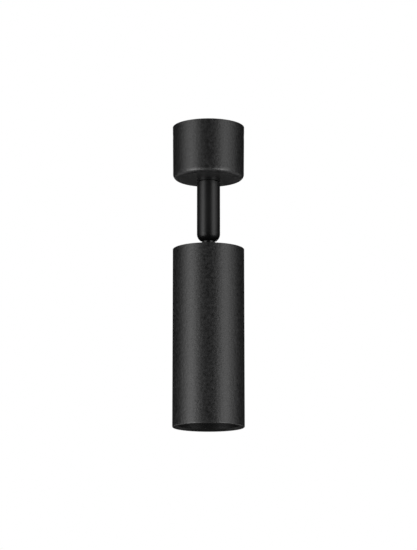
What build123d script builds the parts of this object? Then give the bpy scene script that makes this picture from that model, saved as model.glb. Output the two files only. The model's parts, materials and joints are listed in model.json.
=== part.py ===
from build123d import *

import os
from math import cos, radians, sin, sqrt

# A surface mounted ceiling spotlight for one GU10 reflector lamp.
#
# A round canopy cup sits against the ceiling and hides a mounting strap and a terminal block. A
# short stem pans under the canopy on a hollow spindle. Its lower end is a rounded socket that holds
# a ball, and the ball's neck carries a long cylindrical head. A slot in the back of the socket lets
# the neck swing up, so the head tilts from straight down to level. Inside the head a bracket holds
# the lamp holder, and a removable ring trims the mouth.
#
# Frame: the origin is the centre of the ceiling plane, +Z is up, and the light hangs towards -Z.
# The front is -Y, and the head tilts towards +Y. Lengths are in millimetres.

# ------------------------------------------------------------------ driving dimensions
# Clearances
FIT = 0.05                      # radial, shaft in hole
RUN_GAP = 0.3                   # between faces that pass each other
BREAK_GAP = 0.4                 # between a lead's ends where a joint divides it

# Leads: three insulated cores that run in a bundle
LEAD_RADIUS = 0.85
LEAD_SPACE = 0.145              # half the gap between two cores of the bundle
CORE_ANGLES = {"live": 210, "neutral": 330, "earth": 90}
CANOPY_LEAD_BEND = 3.6
CANOPY_LEAD_RUN = 8.0           # from the terminal block's face to the bend in front of it
EARTH_LEAD_BEND = 3.0
HEAD_LEAD_BEND = 12.0

# Canopy cup, open at the ceiling
CANOPY_TOP_RADIUS = 30.3
CANOPY_DRAFT = 0.4              # the radius lost from the rim down to the floor
CANOPY_HEIGHT = 45.2
CANOPY_WALL = 1.7
CANOPY_FLOOR = 2.0
CANOPY_EDGE_FILLET = 4.2
SIDE_SCREW_DROP = 8.5
SIDE_SCREW_RADIUS = 1.45
SIDE_SCREW_LENGTH = 5.6
SIDE_SCREW_HEAD_RADIUS = 2.9
SIDE_SCREW_HEAD_DEPTH = 1.45

# Mounting strap inside the canopy
STRAP_THICKNESS = 1.5
STRAP_HALF_WIDTH = 10.0
BRACKET_CLEARANCE = 0.6         # between the strap's ends and the canopy's wall
TAB_HALF_WIDTH = 4.5
TAB_DROP = 14.0
EAR_MARGIN = 1.0                # the ear's width past the terminal block, on each side
EAR_BACK_MARGIN = 0.5
CEILING_SLOT_SPACING = 34.0
CEILING_SLOT_LENGTH = 9.0
CEILING_SLOT_WIDTH = 4.4
CABLE_HOLE_RADIUS = 5.0
GROMMET_WALL = 1.15
GROMMET_FLANGE_WIDTH = 2.2
GROMMET_FLANGE_THICKNESS = 1.8
GROMMET_ROUNDING = 0.7

# Ring tags and their screws
TAG_RADIUS = 3.2
TAG_THICKNESS = 0.8
TAG_REACH = 5.0                 # from the screw's axis to the crimp barrel's
TAG_BARREL_LENGTH = 5.0
TAG_BARREL_RADIUS = 1.5
TAG_GRIP = 3.0                  # how far a lead goes into the barrel
TAG_GAP = 0.5                   # from a tag to what stands beside it
EARTH_SCREW_RADIUS = 1.7
EARTH_SCREW_HEAD_RADIUS = 3.0
EARTH_SCREW_HEAD_HEIGHT = 2.0

# Terminal block
PORT_DROP = 6.5                 # from the strap's underside to the ports' axis
PORT_TUBE_WALL = 0.55
PORT_TUBE_INSET = 0.5
BLOCK_WEB = 0.5                 # plastic between a port and a fixing screw
BLOCK_SIDE_WALL = 1.6
BLOCK_DEPTH = 12.0
BLOCK_CORNER_FILLET = 1.0
BLOCK_EDGE_GAP = 2.2            # between the block's back corners and the strap's outline
BLOCK_SCREW_RADIUS = 1.1
BLOCK_SCREW_HEAD_RADIUS = 2.0
BLOCK_SCREW_HEAD_HEIGHT = 1.6
CLAMP_SCREW_RADIUS = 1.25
CLAMP_SCREW_HEAD_RADIUS = 1.7
CLAMP_SCREW_HEAD_HEIGHT = 2.5
CLAMP_SCREW_INSET = 3.0         # from the block's faces to the clamp screws
CLAMP_SCREW_RECESS = 0.8        # how deep a clamp screw's head lies in its well
CLAMP_SLOT_WIDTH = 0.6
CLAMP_SLOT_DEPTH = 0.7

# Washers and nuts
WASHER = 1.0
THREAD_SPARE = 0.8              # thread past a nut
PAN_NUT_WALL = 2.0              # from a thread to the flats of the nuts on the pan joint
PAN_NUT_HEIGHT = 3.0
NECK_NUT_WALL = 2.5
NECK_NUT_HEIGHT = 4.0
WASHER_LAND = 1.0               # how far a lock washer reaches past its nut's flats

# Pan joint: a bush in the canopy's floor and a hollow spindle on the stem
COLLAR_HEIGHT = 2.0
GROOVE_HEIGHT = 1.0
GROOVE_DEPTH = 1.8
BUSH_SLEEVE_RADIUS = 7.0
SPINDLE_RADIUS = 5.15
SPINDLE_THREAD_STEP = 0.15
SPINDLE_HALF_FLATS = 4.2
SPINDLE_BORE_RADIUS = 2.9
FRICTION_WASHER = 0.75
STOP_WASHER_WIDTH = 3.0
STOP_PIN_RADIUS = 1.0
PAN_LIMIT = 170.0               # degrees each way, where the stop washer's tab meets the pin
STOP_PIN_GAP = 0.9              # between the pin and the bush nut's corners
SLEEVE_LENGTH = 6.0
SLEEVE_FLANGE_WIDTH = 1.0
SLEEVE_FLANGE_THICKNESS = 0.8

# Stem tube and ball joint
STEM_RADIUS = 9.75
STEM_WALL = 2.35
STEM_LENGTH = 51.5
STEM_END_FILLET = 7.2
SOCKET_FLOOR = 0.45             # from the stem's lowest point up to the socket's sphere
BALL_SIDE_GAP = 0.2             # between the ball and the stem's bore
NECK_RADIUS = 5.5
NECK_BORE_RADIUS = 2.6
HEAD_SWING_GAP = 4.18           # between the stem's side and the head's top at full tilt
SEAT_HEIGHT = 5.0
SEAT_BORE_RADIUS = 3.1
SPRING_LENGTH = 16.1
SPRING_WIRE_RADIUS = 0.6
SPRING_TURNS = 5
GRUB_RADIUS = 1.5
GRUB_BITE = 1.6                 # how far the grub screw goes into the plug
GRUB_INSET = 0.3
GRUB_SOCKET_RADIUS = 0.75
GRUB_SOCKET_DEPTH = 1.2

# Lamp, to the GU10 standard
LAMP_RADIUS = 25.0
LAMP_LENGTH = 45.4              # from the lamp's face to the top of its base
LAMP_RIM_HEIGHT = 7.0
LAMP_SHOULDER_WIDTH = 1.0
LAMP_SHOULDER_HEIGHT = 2.0
LAMP_WAIST_RADIUS = 15.2
LAMP_WAIST_HEIGHT = 12.0
LAMP_WALL = 1.3
LAMP_BASE_RADIUS = 13.5
LAMP_BASE_HEIGHT = 8.0
LAMP_BASE_FILLET = 1.5
PIN_SPACING = 10.0
PIN_STEM_RADIUS = 1.5
PIN_HEAD_RADIUS = 2.4
PIN_HEAD_HEIGHT = 2.4
PIN_LENGTH = 7.1
PIN_ROOT = 3.0                  # how deep a pin is set in the base
LAMP_TWIST = 18.0               # degrees from locked to free
LAMP_RECESS = 26.9              # from the mouth up to the lamp's face
LENS_LIP = 0.6
LENS_THICKNESS = 2.0
BOARD_RADIUS = 17.5
BOARD_THICKNESS = 1.6
LED_COUNT = 6
LED_ORBIT = 10.0
LED_HALF_SIDE = 1.4
LED_HEIGHT = 0.7

# Front ring
LAMP_PASS_GAP = 1.0             # between the ring's bore and a lamp on its way through
RING_WALL = 2.23
RING_LENGTH = 16.0
RING_INSET = 0.3
RING_BEVEL_HEIGHT = 1.5
SEAL_WIRE_RADIUS = 0.45
SEAL_DROP = 2.0
GLARE_GROOVES = 4
GLARE_GROOVE_DROP = 1.2
GLARE_GROOVE_PITCH = 1.5
GLARE_GROOVE_DEPTH = 0.7
GLARE_GROOVE_HALF_WIDTH = 0.5

# Head
HEAD_LENGTH = 150.0
HEAD_WALL = 2.4
HEAD_EDGE_FILLET = 1.0
POCKET_WALL = 1.7               # the tube's wall round the front ring
CAP_THICKNESS = 3.0
STUD_RADIUS = 4.0

# Lamp holder and its bracket
STRIP_THICKNESS = 1.0
STRIP_HALF_WIDTH = 7.0
HEAD_EARTH_Y = 2.0
HOLDER_RADIUS = 15.0
HOLDER_ROOF = 4.5
HOLDER_COVER_HEIGHT = 5.0
HOLDER_FILLET = 1.0
HOLDER_WEB = 1.35               # ceramic between a pin's cavity and a screw
HOLDER_SCREW_RADIUS = 1.45
HOLDER_SCREW_HEAD_RADIUS = 2.7
HOLDER_SCREW_HEAD_HEIGHT = 1.9
HOLDER_SCREW_FLOOR = 3.6        # ceramic left under a screw's tip
FOOT_MARGIN = 0.85              # from a lead's hole to the foot beside it
CONTACT_ROOM = 3.0
CONTACT_THICKNESS = 0.6
CONTACT_HALF_LENGTH = 2.0
CONTACT_HALF_WIDTH = 1.5

# ------------------------------------------------------------------ derived places
LEAD_ORBIT = 2 * (LEAD_RADIUS + LEAD_SPACE) / sqrt(3)
LEAD_HOLE_RADIUS = LEAD_RADIUS + RUN_GAP

CANOPY_BOTTOM = -CANOPY_HEIGHT
CANOPY_FLOOR_TOP = CANOPY_BOTTOM + CANOPY_FLOOR
COLLAR_BOTTOM = CANOPY_BOTTOM - COLLAR_HEIGHT
STEM_TOP = COLLAR_BOTTOM - GROOVE_HEIGHT
STEM_BOTTOM = STEM_TOP - STEM_LENGTH

# Pan joint, from the canopy's floor up
BUSH_NUT_FLATS = 2 * (BUSH_SLEEVE_RADIUS + PAN_NUT_WALL)
BUSH_NUT_CORNER = BUSH_NUT_FLATS / sqrt(3)
BUSH_NUT_BOTTOM = CANOPY_FLOOR_TOP + WASHER
BUSH_TOP = BUSH_NUT_BOTTOM + PAN_NUT_HEIGHT + THREAD_SPARE
FRICTION_WASHER_TOP = BUSH_TOP + FIT + FRICTION_WASHER
STOP_WASHER_TOP = FRICTION_WASHER_TOP + WASHER
SPINDLE_THREAD_RADIUS = SPINDLE_RADIUS - SPINDLE_THREAD_STEP
SPINDLE_NUT_FLATS = 2 * (SPINDLE_THREAD_RADIUS + PAN_NUT_WALL)
SPINDLE_NUT_TOP = STOP_WASHER_TOP + PAN_NUT_HEIGHT
SPINDLE_TOP = SPINDLE_NUT_TOP + THREAD_SPARE
PAN_BREAK_Z = SPINDLE_TOP + SLEEVE_FLANGE_THICKNESS
STOP_PIN_ORBIT = BUSH_NUT_CORNER + STOP_PIN_GAP + STOP_PIN_RADIUS
STOP_PIN_FOOT = CANOPY_FLOOR_TOP - CANOPY_FLOOR * 0.6
STOP_TAB_SWEEP = STOP_PIN_ORBIT * sin(radians(180 - PAN_LIMIT))
STOP_TAB_HALF_WIDTH = STOP_TAB_SWEEP - STOP_PIN_RADIUS - 2 * FIT

# Ball joint
STEM_BORE_RADIUS = STEM_RADIUS - STEM_WALL
BALL_RADIUS = STEM_BORE_RADIUS - BALL_SIDE_GAP
SOCKET_RADIUS = BALL_RADIUS + FIT
BALL_Z = STEM_BOTTOM + SOCKET_FLOOR + SOCKET_RADIUS
NECK_WAY = NECK_RADIUS + RUN_GAP
SEAT_BOTTOM = BALL_Z + NECK_WAY + FIT
SEAT_TOP = SEAT_BOTTOM + SEAT_HEIGHT
PLUG_BOTTOM = SEAT_TOP + SPRING_LENGTH
GRUB_Z = (STEM_TOP + PLUG_BOTTOM) / 2
TILT_BREAK_Z = BALL_Z + BALL_RADIUS

# Head, from its top down
HEAD_TOP = BALL_Z - STEM_RADIUS - HEAD_SWING_GAP
MOUTH_Z = HEAD_TOP - HEAD_LENGTH
CAP_BOTTOM = HEAD_TOP - CAP_THICKNESS
STRIP_BOTTOM = CAP_BOTTOM - STRIP_THICKNESS
NECK_NUT_TOP = STRIP_BOTTOM - WASHER
NECK_NUT_BOTTOM = NECK_NUT_TOP - NECK_NUT_HEIGHT
STUD_BOTTOM = NECK_NUT_BOTTOM - THREAD_SPARE
NECK_NUT_FLATS = 2 * (STUD_RADIUS + NECK_NUT_WALL)
NECK_NUT_CORNER = NECK_NUT_FLATS / sqrt(3)

# Front ring, and the head's radii worked out from the lamp that passes through it
RING_BORE_RADIUS = LAMP_RADIUS + LAMP_PASS_GAP
RING_RADIUS = RING_BORE_RADIUS + RING_WALL
POCKET_RADIUS = RING_RADIUS + 1.4 * FIT
HEAD_RADIUS = POCKET_RADIUS + POCKET_WALL
HEAD_BORE_RADIUS = HEAD_RADIUS - HEAD_WALL
RING_BOTTOM = MOUTH_Z + RING_INSET
RING_TOP = RING_BOTTOM + RING_LENGTH
SEAL_Z = RING_TOP - SEAL_DROP
SEAL_ORBIT = POCKET_RADIUS - FIT - SEAL_WIRE_RADIUS

# Lamp and holder, from the lamp's face up
LAMP_FACE = MOUTH_Z + LAMP_RECESS
LAMP_RIM_TOP = LAMP_FACE + LAMP_RIM_HEIGHT
LAMP_SHOULDER_TOP = LAMP_RIM_TOP + LAMP_SHOULDER_HEIGHT
LAMP_TOP = LAMP_FACE + LAMP_LENGTH
LAMP_BASE_BOTTOM = LAMP_TOP - LAMP_BASE_HEIGHT
LAMP_WAIST_Z = LAMP_BASE_BOTTOM - LAMP_WAIST_HEIGHT
PIN_TOP = LAMP_TOP + PIN_LENGTH
PIN_HEAD_BOTTOM = PIN_TOP - PIN_HEAD_HEIGHT
HOLDER_BOTTOM = LAMP_TOP + RUN_GAP
CAVITY_FLOOR = PIN_HEAD_BOTTOM - RUN_GAP
CAVITY_TOP = PIN_TOP + CONTACT_ROOM
HOLDER_TOP = CAVITY_TOP + HOLDER_ROOF
COVER_TOP = HOLDER_TOP + HOLDER_COVER_HEIGHT
FOOT_TOP = COVER_TOP + STRIP_THICKNESS
CONTACT_X = PIN_SPACING / 2
HOLDER_SCREW_X = CONTACT_X + PIN_HEAD_RADIUS + RUN_GAP + HOLDER_WEB + HOLDER_SCREW_RADIUS
FOOT_INNER_X = CONTACT_X + LEAD_HOLE_RADIUS + FOOT_MARGIN

# Earth tag in the head, between the neck nut and the bracket's leg
HEAD_TAG_X = NECK_NUT_CORNER + TAG_GAP + TAG_BARREL_RADIUS
HEAD_EARTH_X = HEAD_TAG_X + TAG_REACH
LEG_X = HEAD_EARTH_X + TAG_RADIUS + TAG_GAP + STRIP_THICKNESS
HEAD_EARTH_SCREW_LENGTH = TAG_THICKNESS + STRIP_THICKNESS + CAP_THICKNESS * 0.6


def canopy_radius(z):
    """The canopy's outer radius at a height, which shrinks a little towards the floor."""
    return CANOPY_TOP_RADIUS + CANOPY_DRAFT * z / CANOPY_HEIGHT


# Terminal block, from its ports out, with its back corners inside the canopy
PORT_BORE_RADIUS = 2 * LEAD_RADIUS + 3 * FIT
EARTH_PAIR_OFFSET = LEAD_RADIUS + 1.5 * FIT     # two earth leads lie side by side in one port
PORT_TUBE_RADIUS = PORT_BORE_RADIUS + PORT_TUBE_WALL
PORT_PITCH = 2 * (PORT_TUBE_RADIUS + BLOCK_SCREW_RADIUS + BLOCK_WEB)
PORTS = {"live": -PORT_PITCH, "earth": 0.0, "neutral": PORT_PITCH}
BLOCK_HALF_LENGTH = PORT_PITCH + PORT_TUBE_RADIUS + BLOCK_SIDE_WALL
BRACKET_RADIUS = canopy_radius(-TAB_DROP) - CANOPY_WALL - BRACKET_CLEARANCE
TAB_X = sqrt(BRACKET_RADIUS**2 - TAB_HALF_WIDTH**2)
BLOCK_BACK = sqrt(BRACKET_RADIUS**2 - BLOCK_HALF_LENGTH**2) - BLOCK_EDGE_GAP
BLOCK_FRONT = BLOCK_BACK - BLOCK_DEPTH
BLOCK_MIDDLE = (BLOCK_FRONT + BLOCK_BACK) / 2
BLOCK_TOP = -STRAP_THICKNESS
PORT_Z = BLOCK_TOP - PORT_DROP
CLAMP_HEAD_TOP = PORT_Z - PORT_TUBE_RADIUS - BLOCK_WEB
CLAMP_HEAD_BOTTOM = CLAMP_HEAD_TOP - CLAMP_SCREW_HEAD_HEIGHT
BLOCK_BOTTOM = CLAMP_HEAD_BOTTOM - CLAMP_SCREW_RECESS
BLOCK_HEIGHT = BLOCK_TOP - BLOCK_BOTTOM

# Strap: the cable grommet, and the earth screw beside it near the strap's front edge
CABLE_BORE_RADIUS = CABLE_HOLE_RADIUS - FIT - GROMMET_WALL
GROMMET_FLANGE_RADIUS = CABLE_HOLE_RADIUS + GROMMET_FLANGE_WIDTH
GROMMET_BOTTOM = -STRAP_THICKNESS - GROMMET_FLANGE_THICKNESS
EARTH_Y = TAG_RADIUS + RUN_GAP - STRAP_HALF_WIDTH
EARTH_X = sqrt((GROMMET_FLANGE_RADIUS + TAG_RADIUS + TAG_GAP) ** 2 - EARTH_Y**2)

BASE_ALIGN = (Align.CENTER, Align.CENTER, Align.MIN)
CUT = 1.0                       # how far a cutting solid runs past the face it opens
SIDES = (-1, 1)


# ------------------------------------------------------------------ shape helpers
def block(low, high):
    """Box between two corners."""
    size = [b - a for a, b in zip(low, high)]
    centre = [(a + b) / 2 for a, b in zip(low, high)]
    return Pos(*centre) * Box(*size)


def slab(half_x, half_y, low, high):
    """Box centred on the Z axis between two heights."""
    return block((-half_x, -half_y, low), (half_x, half_y, high))


def drum(radius, low, high, x=0, y=0):
    """Upright cylinder between two heights."""
    return Pos(x, y, low) * Cylinder(radius, high - low, align=BASE_ALIGN)


def ring(outer, inner, low, high):
    """Upright tube about the Z axis between two heights."""
    return drum(outer, low, high) - drum(inner, low - CUT, high + CUT)


def along_y(radius, x, z, start, stop):
    """Cylinder along Y between two places."""
    return Pos(x, start, z) * Rot(-90, 0, 0) * Cylinder(radius, stop - start, align=BASE_ALIGN)


def turned(*profile):
    """Solid turned about the Z axis from the (radius, height) corners of its section."""
    outline = Polyline(*[(radius, 0, z) for radius, z in profile], close=True)
    return revolve(make_face(outline), axis=Axis.Z)


def lowest_edges(solid):
    """The edges that lie lowest on a solid."""
    return solid.edges().group_by(Axis.Z)[0]


def highest_edges(solid):
    """The edges that lie highest on a solid."""
    return solid.edges().group_by(Axis.Z)[-1]


def hex_nut(flats, bore, low, high):
    """Hexagon nut about the Z axis with its corners turned off by a cone on each face."""
    corner = flats / sqrt(3)
    cone_height = (corner - flats / 2) / 2
    blank = turned(
        (0, low),
        (flats / 2, low),
        (corner, low + cone_height),
        (corner, high - cone_height),
        (flats / 2, high),
        (0, high),
    )
    prism = Pos(0, 0, low) * extrude(RegularPolygon(corner, 6), high - low)
    return (prism & blank) - drum(bore, low - CUT, high + CUT)


def cross_recess(head_radius, floor):
    """The cross that a driver fits, cut down to a floor in a screw's head."""
    arm = slab(head_radius * 0.6, head_radius * 0.15, floor, floor + head_radius)
    return arm + Rot(0, 0, 90) * arm


def pan_screw(shank_radius, length, head_radius, head_height):
    """Pan head screw that points down, with its head's seat at the origin."""
    head = drum(head_radius, 0, head_height)
    head = fillet(highest_edges(head), head_height * 0.45)
    return head + drum(shank_radius, -length, 0) - cross_recess(head_radius, head_height * 0.4)


def lead(points, bend):
    """Insulated lead of round section along straight runs joined by arcs of one radius."""
    path = FilletPolyline(*points, radius=bend)
    start = Plane(origin=points[0], z_dir=Vector(*points[1]) - Vector(*points[0]))
    return sweep(start * Circle(LEAD_RADIUS), path=path)


def core_place(core):
    """Where a core runs in the bundle of three, as x and y about the Z axis."""
    angle = radians(CORE_ANGLES[core])
    return LEAD_ORBIT * cos(angle), LEAD_ORBIT * sin(angle)


# ------------------------------------------------------------------ earth tags
def tag_barrel_bottom(face):
    """The lower end of the crimp barrel of a ring tag that lies under a face."""
    return face - TAG_THICKNESS - TAG_BARREL_LENGTH


def earth_tag(x, y, face, toward):
    """Ring tag under a horizontal face, with a crimp barrel bent down on its side (-1 is -X)."""
    low = face - TAG_THICKNESS
    barrel_x = x + toward * TAG_REACH
    barrel_low = tag_barrel_bottom(face)
    tongue_start, tongue_stop = sorted((x, barrel_x))
    tag = drum(TAG_RADIUS, low, face, x, y)
    tag += block(
        (tongue_start, y - TAG_BARREL_RADIUS, low), (tongue_stop, y + TAG_BARREL_RADIUS, face)
    )
    tag += drum(TAG_BARREL_RADIUS, barrel_low, face, barrel_x, y)
    tag -= drum(EARTH_SCREW_RADIUS + FIT, low - CUT, face + CUT, x, y)
    return tag - drum(LEAD_RADIUS + FIT, barrel_low - CUT, low, barrel_x, y)


def earth_screw(x, y, face, length):
    """Pan head screw that clamps a ring tag up against a horizontal face."""
    screw = pan_screw(EARTH_SCREW_RADIUS, length, EARTH_SCREW_HEAD_RADIUS, EARTH_SCREW_HEAD_HEIGHT)
    return Pos(x, y, face - TAG_THICKNESS) * Rot(180, 0, 0) * screw


# ------------------------------------------------------------------ canopy and strap
def side_screw(clearance=0.0):
    """Countersunk screw that points along -Z, with its flat head face at the origin."""
    head_radius = SIDE_SCREW_HEAD_RADIUS + clearance
    shank_radius = SIDE_SCREW_RADIUS + clearance
    return turned(
        (0, 0),
        (head_radius, 0),
        (shank_radius, -SIDE_SCREW_HEAD_DEPTH),
        (shank_radius, -SIDE_SCREW_LENGTH),
        (0, -SIDE_SCREW_LENGTH),
    )


def side_screw_hole():
    """The hole that a side screw fits, open past its head."""
    return side_screw(FIT) + drum(SIDE_SCREW_HEAD_RADIUS + FIT, 0, CUT)


def on_canopy_side(solid, side):
    """Place a side screw's form in the canopy's wall at +X or -X, its head just under the surface."""
    face_x = sqrt(canopy_radius(-SIDE_SCREW_DROP) ** 2 - SIDE_SCREW_HEAD_RADIUS**2)
    return Pos(side * face_x, 0, -SIDE_SCREW_DROP) * Rot(0, side * 90, 0) * solid


def canopy_side_screws():
    screw = side_screw() - cross_recess(SIDE_SCREW_HEAD_RADIUS, -SIDE_SCREW_HEAD_DEPTH * 0.6)
    return [on_canopy_side(screw, side) for side in SIDES]


def canopy():
    """Cup with a thin wall, a rounded lower edge, and holes for its bush, stop pin and screws."""
    shell = turned(
        (0, CANOPY_BOTTOM), (canopy_radius(CANOPY_BOTTOM), CANOPY_BOTTOM), (CANOPY_TOP_RADIUS, 0), (0, 0)
    )
    shell = fillet(lowest_edges(shell), CANOPY_EDGE_FILLET)
    inside = turned(
        (0, CANOPY_FLOOR_TOP),
        (canopy_radius(CANOPY_FLOOR_TOP) - CANOPY_WALL, CANOPY_FLOOR_TOP),
        (canopy_radius(CUT) - CANOPY_WALL, CUT),
        (0, CUT),
    )
    shell -= fillet(lowest_edges(inside), CANOPY_EDGE_FILLET - CANOPY_WALL)
    shell -= drum(BUSH_SLEEVE_RADIUS + FIT, CANOPY_BOTTOM - CUT, CANOPY_FLOOR_TOP + CUT)
    shell -= drum(STOP_PIN_RADIUS + FIT, STOP_PIN_FOOT, CANOPY_FLOOR_TOP + CUT, 0, STOP_PIN_ORBIT)
    for side in SIDES:
        shell -= on_canopy_side(side_screw_hole(), side)
    return shell


def mounting_bracket():
    """Steel strap with slots for the ceiling screws, a cable hole, two tabs and a rear ear."""
    low = -STRAP_THICKNESS
    ear_half = BLOCK_HALF_LENGTH + EAR_MARGIN
    strap = slab(TAB_X, STRAP_HALF_WIDTH, low, 0)
    strap += block((-ear_half, 0, low), (ear_half, BLOCK_BACK + EAR_BACK_MARGIN, 0))
    strap &= drum(BRACKET_RADIUS, low, 0)
    for side in SIDES:
        inner, outer = sorted((side * TAB_X, side * (TAB_X - STRAP_THICKNESS)))
        strap += block((inner, -TAB_HALF_WIDTH, -TAB_DROP), (outer, TAB_HALF_WIDTH, 0))
        slot = SlotOverall(CEILING_SLOT_LENGTH, CEILING_SLOT_WIDTH)
        slot_x = side * CEILING_SLOT_SPACING / 2
        strap -= Pos(slot_x, 0, low - CUT) * extrude(slot, STRAP_THICKNESS + 2 * CUT)
        strap -= on_canopy_side(side_screw_hole(), side)
        strap -= drum(BLOCK_SCREW_RADIUS + FIT, low - CUT, CUT, side * PORT_PITCH / 2, BLOCK_MIDDLE)
    strap -= drum(CABLE_HOLE_RADIUS, low - CUT, CUT)
    return strap - drum(EARTH_SCREW_RADIUS + FIT, low - CUT, CUT, EARTH_X, EARTH_Y)


def cable_grommet():
    """Soft bush pushed up into the strap's cable hole."""
    flange = drum(GROMMET_FLANGE_RADIUS, GROMMET_BOTTOM, -STRAP_THICKNESS)
    flange = fillet(lowest_edges(flange), GROMMET_ROUNDING)
    bush = flange + drum(CABLE_HOLE_RADIUS - FIT, -STRAP_THICKNESS, 0)
    return bush - drum(CABLE_BORE_RADIUS, GROMMET_BOTTOM - CUT, CUT)


# ------------------------------------------------------------------ terminal block
def clamp_places(port_x):
    """Where the two clamp screws of a port stand."""
    return [(port_x, BLOCK_FRONT + CLAMP_SCREW_INSET), (port_x, BLOCK_BACK - CLAMP_SCREW_INSET)]


def terminal_block():
    """Moulded three way block with through ports, screw wells and two fixing holes."""
    body = block(
        (-BLOCK_HALF_LENGTH, BLOCK_FRONT, BLOCK_BOTTOM), (BLOCK_HALF_LENGTH, BLOCK_BACK, BLOCK_TOP)
    )
    body = fillet(body.edges().filter_by(Axis.Z), BLOCK_CORNER_FILLET)
    for port_x in PORTS.values():
        body -= along_y(PORT_TUBE_RADIUS + FIT, port_x, PORT_Z, BLOCK_FRONT - CUT, BLOCK_BACK + CUT)
        for x, y in clamp_places(port_x):
            body -= drum(CLAMP_SCREW_HEAD_RADIUS + FIT, BLOCK_BOTTOM - CUT, PORT_Z, x, y)
    for side in SIDES:
        hole_x = side * PORT_PITCH / 2
        body -= drum(BLOCK_SCREW_RADIUS + FIT, BLOCK_BOTTOM - CUT, BLOCK_TOP + CUT, hole_x, BLOCK_MIDDLE)
    return body


def terminal_tubes():
    """Brass tube in each port, drilled for its two clamp screws."""
    start, stop = BLOCK_FRONT + PORT_TUBE_INSET, BLOCK_BACK - PORT_TUBE_INSET
    tubes = []
    for port_x in PORTS.values():
        tube = along_y(PORT_TUBE_RADIUS, port_x, PORT_Z, start, stop)
        tube -= along_y(PORT_BORE_RADIUS, port_x, PORT_Z, start - CUT, stop + CUT)
        for x, y in clamp_places(port_x):
            tube -= drum(CLAMP_SCREW_RADIUS + FIT, PORT_Z - PORT_TUBE_RADIUS - CUT, PORT_Z, x, y)
        tubes.append(tube)
    return tubes


def terminal_screws():
    """Slotted clamp screws, seen from below in their wells."""
    tip = PORT_Z - LEAD_RADIUS - FIT
    slot_top = CLAMP_HEAD_BOTTOM + CLAMP_SLOT_DEPTH
    screw = drum(CLAMP_SCREW_HEAD_RADIUS, CLAMP_HEAD_BOTTOM, CLAMP_HEAD_TOP)
    screw += drum(CLAMP_SCREW_RADIUS, CLAMP_HEAD_TOP, tip)
    screw -= slab(CLAMP_SLOT_WIDTH / 2, CLAMP_SCREW_HEAD_RADIUS + CUT, CLAMP_HEAD_BOTTOM - CUT, slot_top)
    return [Pos(x, y, 0) * screw for port_x in PORTS.values() for x, y in clamp_places(port_x)]


def terminal_fixing_screws():
    """Two screws that hold the block up against the strap's ear."""
    length = BLOCK_HEIGHT + STRAP_THICKNESS
    screw = pan_screw(BLOCK_SCREW_RADIUS, length, BLOCK_SCREW_HEAD_RADIUS, BLOCK_SCREW_HEAD_HEIGHT)
    upward = Rot(180, 0, 0) * screw
    return [Pos(side * PORT_PITCH / 2, BLOCK_MIDDLE, BLOCK_BOTTOM) * upward for side in SIDES]


# ------------------------------------------------------------------ pan joint
def pan_bush():
    """Flanged bush through the canopy's floor, whose flange is the collar above the stem."""
    bush = drum(STEM_RADIUS, COLLAR_BOTTOM, CANOPY_BOTTOM)
    bush += drum(BUSH_SLEEVE_RADIUS, CANOPY_BOTTOM, BUSH_TOP)
    return bush - drum(SPINDLE_RADIUS + FIT, COLLAR_BOTTOM - CUT, BUSH_TOP + CUT)


def pan_lock_washer():
    outer = BUSH_NUT_FLATS / 2 + WASHER_LAND
    return ring(outer, BUSH_SLEEVE_RADIUS + FIT, CANOPY_FLOOR_TOP, BUSH_NUT_BOTTOM)


def pan_bush_nut():
    high = BUSH_NUT_BOTTOM + PAN_NUT_HEIGHT
    return hex_nut(BUSH_NUT_FLATS, BUSH_SLEEVE_RADIUS + FIT, BUSH_NUT_BOTTOM, high)


def pan_stop_pin():
    return drum(STOP_PIN_RADIUS, STOP_PIN_FOOT, STOP_WASHER_TOP + RUN_GAP, 0, STOP_PIN_ORBIT)


def flatted_thread(radius, half_flats, low, high):
    """Upright cylinder with two flats, as on the spindle's thread and in what is keyed to it."""
    return drum(radius, low, high) & slab(radius + CUT, half_flats, low, high)


def grub_screw_form(clearance=0.0):
    """Grub screw, or its hole, through the stem's rear wall into the spindle's plug."""
    tip = STEM_BORE_RADIUS - GRUB_BITE - clearance
    face = STEM_RADIUS - GRUB_INSET if clearance == 0 else STEM_RADIUS + CUT
    return along_y(GRUB_RADIUS + clearance, 0, GRUB_Z, tip, face)


def stem_grub_screw():
    """Headless screw with a socket in its outer end."""
    face = STEM_RADIUS - GRUB_INSET
    socket = along_y(GRUB_SOCKET_RADIUS, 0, GRUB_Z, face - GRUB_SOCKET_DEPTH, face + CUT)
    return grub_screw_form() - socket


def stem_spindle():
    """Hollow spindle: a plug in the stem's bore, a journal in the bush and a flatted thread."""
    spindle = drum(STEM_BORE_RADIUS - FIT, PLUG_BOTTOM, STEM_TOP)
    spindle += drum(SPINDLE_RADIUS, STEM_TOP, BUSH_TOP)
    spindle += flatted_thread(SPINDLE_THREAD_RADIUS, SPINDLE_HALF_FLATS, BUSH_TOP, SPINDLE_TOP)
    spindle -= drum(SPINDLE_BORE_RADIUS, PLUG_BOTTOM - CUT, SPINDLE_TOP + CUT)
    return spindle - grub_screw_form(FIT)


def pan_thrust_washer():
    """Washer in the groove between the collar and the stem."""
    return ring(STEM_RADIUS - GROOVE_DEPTH, SPINDLE_RADIUS + FIT, STEM_TOP, COLLAR_BOTTOM - FIT)


def pan_friction_washer():
    inner = SPINDLE_THREAD_RADIUS + FIT
    return ring(BUSH_SLEEVE_RADIUS, inner, BUSH_TOP + FIT, FRICTION_WASHER_TOP)


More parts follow.
